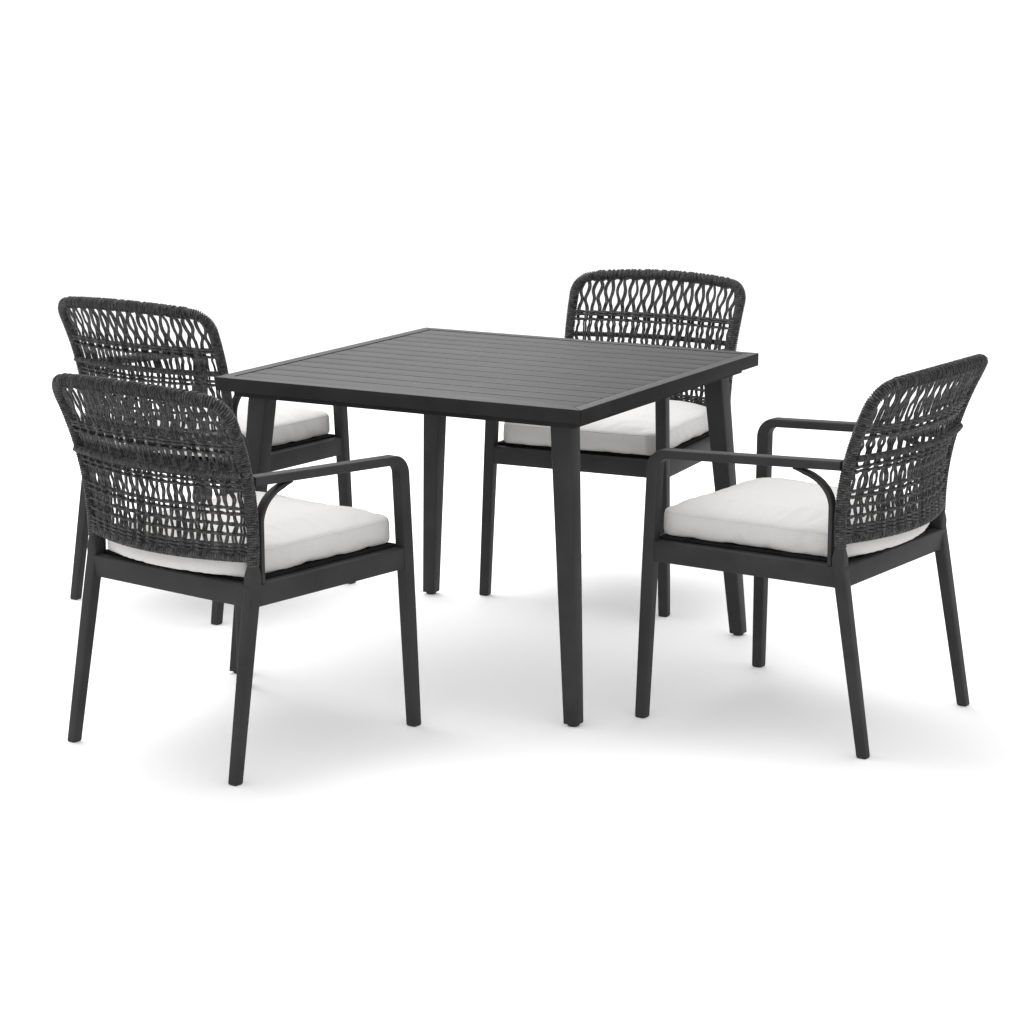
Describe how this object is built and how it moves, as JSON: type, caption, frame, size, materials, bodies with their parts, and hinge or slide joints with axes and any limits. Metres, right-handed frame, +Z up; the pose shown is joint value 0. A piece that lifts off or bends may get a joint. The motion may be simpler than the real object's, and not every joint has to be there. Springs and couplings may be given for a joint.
{
  "type": "patio dining set",
  "caption": "Square slatted patio dining table with armchairs that have woven rope backs, curved arm braces and loose seat cushions.",
  "frame": {"origin": "middle of the set's footprint, on the floor; the table's centre stands 35.5 mm along X and 31.2 mm along Y from it", "axes": "+Z up; the table's sides run along X and Y, its slats run along X, and the front chair stands on the -Y side facing about +Y"},
  "size_m": [2.5764, 2.4306, 0.859],
  "materials": {
    "powder_coat": "satin charcoal powder coat on aluminium tube",
    "slat_coat": "satin charcoal powder coat, faintly streaked along the slats",
    "rope": "matt charcoal braided rope",
    "deck_mesh": "matt black mesh",
    "cushion_cloth": "plain woven off-white cloth with a thin seam line",
    "glide_plastic": "matt black"
  },
  "bodies": {
    "table": {"table_apron": "powder_coat", "table_batten": "powder_coat", "table_frame": "powder_coat", "table_glide_back_left": "glide_plastic", "table_glide_back_right": "glide_plastic", "table_glide_front_left": "glide_plastic", "table_glide_front_right": "glide_plastic", "table_leg_back_left": "powder_coat", "table_leg_back_right": "powder_coat", "table_leg_front_left": "powder_coat", "table_leg_front_right": "powder_coat", "table_slat_01": "slat_coat", "table_slat_02": "slat_coat", "table_slat_03": "slat_coat", "table_slat_04": "slat_coat", "table_slat_05": "slat_coat", "table_slat_06": "slat_coat", "table_slat_07": "slat_coat", "table_slat_08": "slat_coat", "table_slat_09": "slat_coat", "table_slat_10": "slat_coat", "table_slat_11": "slat_coat", "table_slat_12": "slat_coat", "table_slat_13": "slat_coat"},
    "front_chair": {"front_chair_back_frame": "powder_coat", "front_chair_left_arm": "powder_coat", "front_chair_left_brace": "powder_coat", "front_chair_right_arm": "powder_coat", "front_chair_right_brace": "powder_coat", "front_chair_rope_back": "rope", "front_chair_seat_deck": "deck_mesh", "front_chair_seat_frame": "powder_coat"},
    "front_cushion": {"front_chair_cushion": "cushion_cloth"},
    "right_chair": {"right_chair_back_frame": "powder_coat", "right_chair_left_arm": "powder_coat", "right_chair_left_brace": "powder_coat", "right_chair_right_arm": "powder_coat", "right_chair_right_brace": "powder_coat", "right_chair_rope_back": "rope", "right_chair_seat_deck": "deck_mesh", "right_chair_seat_frame": "powder_coat"},
    "right_cushion": {"right_chair_cushion": "cushion_cloth"},
    "back_chair": {"back_chair_back_frame": "powder_coat", "back_chair_left_arm": "powder_coat", "back_chair_left_brace": "powder_coat", "back_chair_right_arm": "powder_coat", "back_chair_right_brace": "powder_coat", "back_chair_rope_back": "rope", "back_chair_seat_deck": "deck_mesh", "back_chair_seat_frame": "powder_coat"},
    "back_cushion": {"back_chair_cushion": "cushion_cloth"},
    "left_chair": {"left_chair_back_frame": "powder_coat", "left_chair_left_arm": "powder_coat", "left_chair_left_brace": "powder_coat", "left_chair_right_arm": "powder_coat", "left_chair_right_brace": "powder_coat", "left_chair_rope_back": "rope", "left_chair_seat_deck": "deck_mesh", "left_chair_seat_frame": "powder_coat"},
    "left_cushion": {"left_chair_cushion": "cushion_cloth"}
  },
  "joints": [
    {"name": "front_chair_push_in", "type": "slide", "parent": "table", "child": "front_chair", "axis": [0.1616, 0.9869, 0], "range_m": [-0.3, 0.3]},
    {"name": "right_chair_push_in", "type": "slide", "parent": "table", "child": "right_chair", "axis": [-0.9934, 0.1149, 0], "range_m": [-0.3, 0.3]},
    {"name": "back_chair_push_in", "type": "slide", "parent": "table", "child": "back_chair", "axis": [0.0489, -0.9988, 0], "range_m": [-0.3, 0.3]},
    {"name": "left_chair_push_in", "type": "slide", "parent": "table", "child": "left_chair", "axis": [0.0785, 0.9969, 0], "range_m": [-0.3, 0.3]},
    {"name": "front_cushion_lift", "type": "slide", "parent": "front_chair", "child": "front_cushion", "axis": [0, 0, 1], "range_m": [0, 0.12]},
    {"name": "right_cushion_lift", "type": "slide", "parent": "right_chair", "child": "right_cushion", "axis": [0, 0, 1], "range_m": [0, 0.12]},
    {"name": "back_cushion_lift", "type": "slide", "parent": "back_chair", "child": "back_cushion", "axis": [0, 0, 1], "range_m": [0, 0.12]},
    {"name": "left_cushion_lift", "type": "slide", "parent": "left_chair", "child": "left_cushion", "axis": [0, 0, 1], "range_m": [0, 0.12]}
  ]
}
